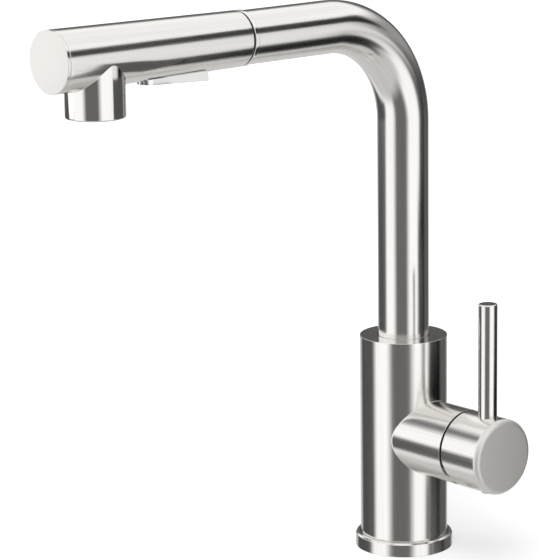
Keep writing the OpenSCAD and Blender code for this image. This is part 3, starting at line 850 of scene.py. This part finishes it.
# %% [markdown]
# ## Valve housing
# The housing is a short tube that is welded to the column. Its inner end follows the column's
# round, like a saddle. A Boolean would cut the same saddle, but would leave no weld. So the rings
# near the weld are first made flat, a little wider than the tube, and are then pulled back onto
# the column. There they form the small ground fillet that shows as a bright line.

# %% Housing
FILLET = [(0.24, -0.03), (0.12, 0.03), (0.05, 0.09), (0.01, 0.2), (0.0, 0.35)]  # out, rise
WELD_RINGS = 2.0
weld = [(housing_r + out, column_r + rise) for out, rise in FILLET]
housing = turn_piece("valve_neck", [(bore_r, column_r)] + weld + [
    (housing_r, housing_end), (bore_r, housing_end)], "handle")
round_edges(housing, width=0.2)
for vertex in housing.data.vertices:
    if vertex.co.x < (column_r + WELD_RINGS) * MM:
        vertex.co.x += math.sqrt((column_r * MM) ** 2 - vertex.co.y ** 2) - column_r * MM
dress(housing, "base", "valve_housing", brushed_stainless, "handle")

# %% [markdown]
# ## Handle cap
# The cap is the part that a hand turns. It is a cup with a rounded front edge and a flat turned
# face. Inside, it fits over the black dome of the valve, and a socket takes the stem. The whole
# cup is one walk along its profile. The holes for the lever, the screw and its plug are then
# bored into it, and the rings near them lie close together, so that the long faces stay smooth.

# %% Cap
CAP_ROUND = 3.0
CAVITY_R = bore_r + 1.0
SOCKET_R, SOCKET_DEPTH = 4.0, 6.5
LEVER_BAND = 8
BEHIND_LEVER = 0.35
cap_low, cap_high = box_mm("handle_cap")
rim_x, cap_end = cap_low.x, cap_high.x
cavity_end = lever_x - lever_r - BEHIND_LEVER


def arc(centre_r, centre_h, radius, start, stop, steps):
    angles = [math.radians(start + (stop - start) * step / steps) for step in range(steps + 1)]
    return [(centre_r + radius * math.cos(a), centre_h + radius * math.sin(a)) for a in angles]


profile = [(SOCKET_R, cap_end - SOCKET_DEPTH), (SOCKET_R, cavity_end), (CAVITY_R, cavity_end),
           (CAVITY_R, rim_x), (housing_r, rim_x)]
profile += [(housing_r, x) for x in spaced(lever_x - LEVER_BAND, lever_x + LEVER_BAND, step=1.25)]
profile += arc(housing_r - CAP_ROUND, cap_end - CAP_ROUND, CAP_ROUND, 0, 90, steps=10)
cap = turn_piece("handle_cup", profile, "handle", rims="filled")
round_edges(cap, width=0.15, segments=2)
print("cap turned with", len(cap.data.vertices), "points")

# %% Holes for the lever, the screw and its plug
BORE_GAP = 0.08
BEYOND, OVERLAP = 5, 1
SCREW_R, SCREW_TOP = 2.5, -2
plug_low, plug_high = box_mm("screw_plug")
plug_r = (plug_high.x - plug_low.x) / 2
BORES = (
    (lever_r, lever_low.z, handle_z + housing_r + BEYOND),
    (plug_r, plug_low.z - BEYOND, plug_high.z),
    (SCREW_R, plug_high.z - OVERLAP, handle_z + SCREW_TOP),
)
for radius, low, high in BORES:
    centre = (lever_x, 0, (low + high) / 2)
    cut_away(cap, round_cutter(radius + BORE_GAP, high - low, centre, sides=64))
print("holes in the cap:", len(BORES))

# %% [markdown]
# ## The wedge under the cap
# The cap tips when the lever is lifted, and its rim would then meet the housing below. So a wedge
# is cut from the rim's lower half, deepest at the bottom. The cutter is a cube whose upper edge
# is pushed back to the rim.

# %% Wedge
WEDGE_TOP, WEDGE_BOTTOM = -2.0, -25.0
WEDGE_SLOPE = 4.7 / 19.5
WEDGE_LEAD, WEDGE_WIDTH = 2, 60
wedge_out = rim_x + WEDGE_SLOPE * (WEDGE_TOP - WEDGE_BOTTOM)
deselect_all()
bpy.ops.mesh.primitive_cube_add(size=1, location=(
    (rim_x - WEDGE_LEAD + wedge_out) / 2 * MM, 0,
    (handle_z + (WEDGE_TOP + WEDGE_BOTTOM) / 2) * MM))
wedge = bpy.context.object
wedge.scale = (
    (wedge_out - rim_x + WEDGE_LEAD) * MM, WEDGE_WIDTH * MM, (WEDGE_TOP - WEDGE_BOTTOM) * MM)
bpy.ops.object.transform_apply(location=False, rotation=False, scale=True)
corners = wedge.data.vertices
for corner in corners:
    corner.select = corner.co.x > 0 and corner.co.z > 0
for edge in wedge.data.edges:
    edge.select = all(corners[index].select for index in edge.vertices)
for face in wedge.data.polygons:
    face.select = False
bpy.ops.object.mode_set(mode="EDIT")
bpy.ops.transform.translate(value=((rim_x - wedge_out) * MM, 0, 0))
bpy.ops.object.mode_set(mode="OBJECT")
cut_away(cap, wedge)
dress(cap, "handle", "handle_cap", brushed_stainless, "handle",
      turned_towards=(1, 0, 0))

# %% [markdown]
# ## Lever and plug
# The lever is a plain round bar with its upper edge turned off, so the last steps of its profile
# run along a small arc. The plug closes the hole of the screw that clamps the cap on the stem.
# It is a pushed-in plastic button with a soft lower edge.

# %% Lever
LEVER_EDGE = 0.8
edge_start = lever_high.z - LEVER_EDGE
lever = turn_piece("lever_bar", [(lever_r, lever_low.z), (lever_r, edge_start)] + arc(
    lever_r - LEVER_EDGE, edge_start, LEVER_EDGE, 15, 90, steps=5), "lever", "filled", sides=96)
dress(lever, "handle", "handle_lever", brushed_stainless)

# %% Plug
PLUG_EDGE = 0.6
EDGE_ANGLES = (0.4, 0.8, 1.2, 1.57)  # radians
soft_edge = [
    (plug_r - PLUG_EDGE + PLUG_EDGE * math.cos(a), plug_low.z + PLUG_EDGE - PLUG_EDGE * math.sin(a))
    for a in EDGE_ANGLES]
plug = turn_piece("plug_button", [(plug_r, plug_high.z), (plug_r, plug_low.z + PLUG_EDGE)]
                  + soft_edge, "lever", "filled", sides=64)
dress(plug, "handle", "screw_plug", finishes["plug_plastic"])

# %% [markdown]
# ## Spout tube
# The spout is one tube, bent through a right angle. A bevelled curve would look alike, but the
# hand way keeps an even spacing of rings: a circle is extruded up from the column, spun a quarter
# turn about the bend's centre, and extruded along the leg. Solidify then gives it its wall,
# inwards, so that the outside stays at the tube's size. The hose inside is made the same way, so
# the walk is a helper.

# %% Spout
TUBE_WALL = 1.5
MERGE = 1e-6  # metres


def bent_tube(name, radius, foot, mouth, sides, bend_steps, leg_steps, rims):
    """Up the column from its foot, round the bend, and along the leg as far as its mouth."""
    tube = start_circle(name, radius, foot, sides)
    extrude_by(0, 0, bend_z - foot)
    bpy.ops.mesh.spin(steps=bend_steps, angle=-math.pi / 2, axis=(1, 0, 0),
                      center=(0, -BEND_R * MM, bend_z * MM))
    for _ in range(leg_steps):
        extrude_by(0, (BEND_R - mouth) / leg_steps, 0)
    bpy.ops.mesh.select_all(action="SELECT")
    bpy.ops.mesh.remove_doubles(threshold=MERGE)
    close_shell(rims)
    return tube


spout = bent_tube("spout_bent_tube", tube_r, foot=tube_low.z, mouth=-tube_low.y, sides=128,
                  bend_steps=60, leg_steps=1, rims="open")
shape_with(spout, "SOLIDIFY", thickness=TUBE_WALL * MM, offset=-1.0, use_even_offset=True)
dress(spout, "spout", "spout_tube", brushed_stainless, "spout")

# %% [markdown]
# ## Mouth ring
# A polished ring closes the tube's mouth and guides the collar of the spray head. Its guide sits
# inside the tube, and its rim is a little wider than the tube. It could be a thicker end of the
# tube, but on the real faucet it is a piece of its own, and the fine dark lines beside it show
# that. It is one more walk round a profile, and its edges are rounded.

# %% Mouth ring
COLLAR_PLAY = 0.1
GUIDE_CHAMFER = 0.5
ring_low, ring_high = box_mm("mouth_ring")
ring_r, ring_start, ring_end = ring_high.x, -ring_high.y, -ring_low.y
ring_in_r = box_mm("docking_collar")[1].x + COLLAR_PLAY
tube_in_r, rim_start = tube_r - TUBE_WALL, -tube_low.y
mouth_ring = turn_piece("mouth_rim", [
    (ring_in_r, ring_start), (tube_in_r, ring_start), (tube_in_r, rim_start), (ring_r, rim_start),
    (ring_r, ring_end), (ring_in_r + GUIDE_CHAMFER, ring_end),
    (ring_in_r, ring_end - GUIDE_CHAMFER)], "leg")
round_edges(mouth_ring, width=0.35)
dress(mouth_ring, "spout", "mouth_ring", polished_steel, "leg")

# %% [markdown]
# ## Spray head
# The head is a slender cone with a thin wall. A cone primitive would be quicker, but its faces
# run from end to end, and an opening cut into them would bend the highlights all along. So the
# cone is walked in many rings, and the nozzle's opening and the pocket of the rocker are then cut
# with Boolean modifiers. A turned disc closes the front end.

# %% Head shell
HEAD_WALL = 1.6
shell_low, shell_high = box_mm("head_shell")
head_start, shell_end = -shell_high.y, -shell_low.y
end_low, end_high = box_mm("head_cap")
tip_y, tip_r = -end_low.y, end_high.x


def head_r(y):
    """The cone's outer radius at a distance along the leg."""
    return ring_r + (tip_r - ring_r) * (y - head_start) / (tip_y - head_start)


profile = [(head_r(y), y) for y in spaced(head_start, shell_end, step=2.5)]
profile += [(head_r(y) - HEAD_WALL, y) for y in (shell_end, head_start)]
head = turn_piece("spray_shell", profile, "leg")
round_edges(head, width=0.25, segments=2)
print("head turned with", len(head.data.vertices), "points")

# %% Nozzle's opening
NOZZLE_WALL = 1.7
OPENING_DEPTH = 40
nozzle_in_r = nozzle_r - NOZZLE_WALL
centre = (0, -nozzle_y, leg_z - OPENING_DEPTH / 2)
cut_away(head, round_cutter(nozzle_in_r, OPENING_DEPTH, centre))
print("opening of", round(2 * nozzle_in_r, 1), "mm across")

# %% Rocker's pocket
POCKET_SIDE, POCKET_END, POCKET_TOP = 0.5, 1.2, 6.7
BLOCK_DEPTH = 30
NOSE_FLAT = 0.01  # keeps the two rounds of the nose from meeting
rocker_low, rocker_high = box_mm("rocker")


def rocker_block(name, side, end, top):
    """A block with a round nose: the rocker itself, or the cutter for its pocket."""
    half = rocker_high.x + side
    nose, rear = rocker_low.y - end, rocker_high.y + end
    low, high = leg_z - BLOCK_DEPTH, leg_z - top
    deselect_all()
    bpy.ops.mesh.primitive_cube_add(
        size=1, location=(0, (nose + rear) / 2 * MM, (low + high) / 2 * MM))
    block = bpy.context.object
    block.name = block.data.name = name
    block.scale = (2 * half * MM, (rear - nose) * MM, (high - low) * MM)
    bpy.ops.object.transform_apply(location=True, rotation=False, scale=True)
    mesh = block.data
    for part in (*mesh.polygons, *mesh.vertices):
        part.select = False
    for edge in mesh.edges:
        a, b = (mesh.vertices[index].co for index in edge.vertices)
        upright = abs(a.z - b.z) > (high - low) / 2 * MM
        edge.select = upright and a.y < (nose + rear) / 2 * MM
    bpy.ops.object.mode_set(mode="EDIT")
    bpy.ops.mesh.select_mode(type="EDGE")
    bpy.ops.mesh.bevel(offset=(half - NOSE_FLAT) * MM, segments=14, affect="EDGES")
    bpy.ops.object.mode_set(mode="OBJECT")
    return block


cut_away(head, rocker_block("pocket_cutter", POCKET_SIDE, POCKET_END, POCKET_TOP))
dress(head, "spray_head", "head_shell", brushed_stainless, "leg")

# %% End disc
SPIGOT_RING = 2
spigot_y = -end_high.y
spigot_r = head_r(shell_end) - HEAD_WALL
head_end = turn_piece("head_end_disc", [
    (spigot_r - SPIGOT_RING, shell_end), (spigot_r - SPIGOT_RING, spigot_y),
    (head_r(spigot_y) - HEAD_WALL, spigot_y), (spigot_r, shell_end),
    (head_r(shell_end), shell_end), (tip_r, tip_y)], "leg", "filled")
round_edges(head_end, width=0.3)
dress(head_end, "spray_head", "head_cap", brushed_stainless, "leg",
      turned_towards=(0, -1, 0))

# %% [markdown]
# ## Nozzle
# The nozzle is a short tube welded under the head. Its upper rings are pulled up onto the head's
# cone, as the housing's were onto the column, and the first of them spreads a little to the front
# and the rear, where the weld was ground to a fillet. The lower rim is rolled round, to the spray
# plate.

# %% Nozzle
RIM_ROUND = 1.2
NOZZLE_FILLET = [(0.3, -0.03), (0.16, 0.06), (0.06, 0.17), (0.0, 0.35)]  # spread, rise
FLAT_TOP = 8.0
BETWEEN_RINGS = 0.5
rim_drop = leg_z - nozzle_low.z
profile = [(nozzle_in_r, FLAT_TOP)]
profile += [(nozzle_r, FLAT_TOP + k) for k in range(len(NOZZLE_FILLET))]
profile += arc(nozzle_r - RIM_ROUND, rim_drop - RIM_ROUND, RIM_ROUND, 0, 90, steps=8)
nozzle = turn_piece("nozzle_tube", profile + [(nozzle_in_r, rim_drop)], "nozzle")
for vertex in nozzle.data.vertices:
    x, y, z = vertex.co / MM
    y, drop = y + nozzle_y, leg_z - z
    if drop > FLAT_TOP + len(NOZZLE_FILLET) - BETWEEN_RINGS:
        continue
    radius = math.hypot(x, y)
    outer = radius > nozzle_r - BETWEEN_RINGS
    spread, rise = NOZZLE_FILLET[round(drop - FLAT_TOP)] if outer else (0.0, 0.0)
    share = 1 + spread * (y / radius) ** 2 / radius
    x, y = x * share, y * share
    on_cone = math.sqrt(max(0.0, head_r(nozzle_y - y) ** 2 - x * x))
    vertex.co = Vector((x, y - nozzle_y, leg_z - on_cone - rise)) * MM
dress(nozzle, "spray_head", "nozzle_sleeve", bright_stainless, "nozzle")

# %% [markdown]
# ## Rocker
# The rocker under the head switches between a jet and a shower. It is a polished key with a round
# nose and an underside that grows deeper towards the rear. A cube gets the round nose by a wide
# bevel of its two upright front edges, then its lower face is tilted, its upper face is drawn in
# a little, as on a casting, and at last all edges are rounded by half a millimetre.

# %% Rocker
NOSE_DROP, REAR_DROP = 17.6, leg_z - rocker_low.z
ROCKER_DRAFT = 0.8
rocker = rocker_block("rocker_key", side=0.0, end=0.0, top=leg_z - rocker_high.z)
for vertex in rocker.data.vertices:
    if vertex.co.z < rocker_low.z * MM:
        share = (vertex.co.y / MM - rocker_low.y) / (rocker_high.y - rocker_low.y)
        vertex.co.z = (leg_z - NOSE_DROP - share * (REAR_DROP - NOSE_DROP)) * MM
    else:
        vertex.co.x *= ROCKER_DRAFT
round_edges(rocker, width=0.5)
dress(rocker, "selector", "rocker", polished_steel, "leg")

# %% [markdown]
# ## Spray face
# Inside the rim sits a grey plate with two rings of soft rubber nubs round the aerator. The nubs
# can be rubbed clean, so they are made of one rubber sheet. One nub is turned as a small cone with
# a hole, and is copied round the plate. It has few sides, because it is tiny and repeats often.

# %% Plate
INNER_CHAMFER, OUTER_CHAMFER = (0.5, 0.3), (0.6, 0.35)  # width, depth
aerator_r = box_mm("aerator")[1].x
plate_low, plate_high = box_mm("spray_plate")
plate_drop, plate_back = leg_z - plate_low.z, leg_z - plate_high.z
plate = turn_piece("spray_face", [
    (aerator_r, plate_back), (aerator_r, plate_drop - INNER_CHAMFER[1]),
    (aerator_r + INNER_CHAMFER[0], plate_drop), (nozzle_in_r - OUTER_CHAMFER[0], plate_drop),
    (nozzle_in_r, plate_drop - OUTER_CHAMFER[1]), (nozzle_in_r, plate_back)], "nozzle")
dress(plate, "spray_head", "spray_plate", finishes["grey_plastic"], "nozzle")

# %% One nub, copied in two rings
NUB_R, NUB_HOLE = 0.85, 0.42
SHOULDER, CROWN, MOUTH = 0.94, 0.72, 1.15  # shares of the nub's radius and of its hole's
SHOULDER_DROP, MOUTH_DEPTH, FOOT_DEPTH = 0.25, 0.3, 0.4
NUB_RINGS = ((8.6, 16), (11.6, 24))  # radius, number
sheet_low, sheet_high = box_mm("spray_nubs")
sheet_back, nub_tip = leg_z - sheet_high.z, leg_z - sheet_low.z
nub_foot = plate_drop - FOOT_DEPTH
first_nub = turn_piece("rubber_nubs", [
    (NUB_HOLE, nub_foot), (NUB_R, nub_foot), (NUB_R * SHOULDER, nub_tip - SHOULDER_DROP),
    (NUB_R * CROWN, nub_tip), (NUB_HOLE * MOUTH, nub_tip), (NUB_HOLE, nub_tip - MOUTH_DEPTH)],
    "nozzle", sides=12)
nubs = []
for ring_radius, number in NUB_RINGS:
    for k in range(number):
        nub = first_nub.copy()
        nub.data = first_nub.data.copy()
        scene.collection.objects.link(nub)
        turn_by = 2 * math.pi * k / number
        nub.location = (
            ring_radius * math.cos(turn_by) * MM, ring_radius * math.sin(turn_by) * MM, 0)
        nubs.append(nub)
print("nubs:", len(nubs))

# %% The rubber sheet behind them
SHEET_GAP, SHEET_DEPTH = 0.1, 1
sheet_r = nozzle_in_r - SHEET_GAP
sheet = turn_piece("rubber_sheet", [
    (aerator_r, sheet_back), (sheet_r, sheet_back), (sheet_r, sheet_back + SHEET_DEPTH),
    (aerator_r, sheet_back + SHEET_DEPTH)], "nozzle")
activate(sheet)
for nub in nubs:
    nub.select_set(True)
bpy.ops.object.join()
bpy.data.objects.remove(first_nub)
dress(sheet, "spray_head", "spray_nubs", finishes["rubber"], "nozzle")

# %% [markdown]
# ## Pull-out hose
# The hose runs inside the spout and follows the head when it is pulled out. It is woven, so its
# surface is a braid. It is walked as the spout was, but along the leg it gets many close rings.

# %% Hose
hose_low, hose_high = box_mm("pullout_hose")
hose_end = -hose_low.y
hose = bent_tube("braided_hose", hose_high.x, foot=0, mouth=hose_end, sides=48,
                 bend_steps=24, leg_steps=60, rims="filled")
smooth_off(hose)
hose.data.materials.append(make_finish(
    "hose_braid", braid, {"Strands": 12.0, "Pitch": 1700.0},
    ((0.20, 0.20, 0.21), (0.52, 0.52, 0.53)), roughness=(0.35, 0.55), relief=220.0,
    shift=(0, 0, -leg_z * MM), Metallic=0.35))
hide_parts("pullout_hose")
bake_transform(hose)
print("hose reaches to", round(hose_end, 1), "mm along the leg")

# %% [markdown]
# ## The pieces inside
# The inner pieces keep their construction meshes, which already have their true shapes. Each
# gets the finish of its material in its slots: machined brass, moulded nylon, ceramic, rubber,
# plastic or hard steel. One table of names by finish does it for all of them.

# %% Finishes of the inner pieces
INNER = {
    "rubber": ("deck_gasket", "cartridge_seal", "swivel_seal"),
    "machined_brass": (
        "valve_block", "spout_collar", "spout_foot", "cartridge_nut", "hose_nut"),
    "white_nylon": (
        "thrust_washer", "stem_carrier", "disc_driver", "swivel_bushes", "check_valve",
        "head_core", "spray_body", "diverter_plunger", "cartridge_body"),
    "ceramic": ("fixed_disc", "moving_disc"),
    "hard_steel": ("stem_pin", "valve_stem", "snap_ring", "set_screw", "rocker_pin"),
    "black_plastic": ("bonnet", "docking_collar"),
    "grey_plastic": ("aerator",),
}
for finish, names in INNER.items():
    for name in names:
        for slot in nodes[name].material_slots:
            slot.material = finishes[finish]
print("inner pieces:", sum(len(names) for names in INNER.values()))
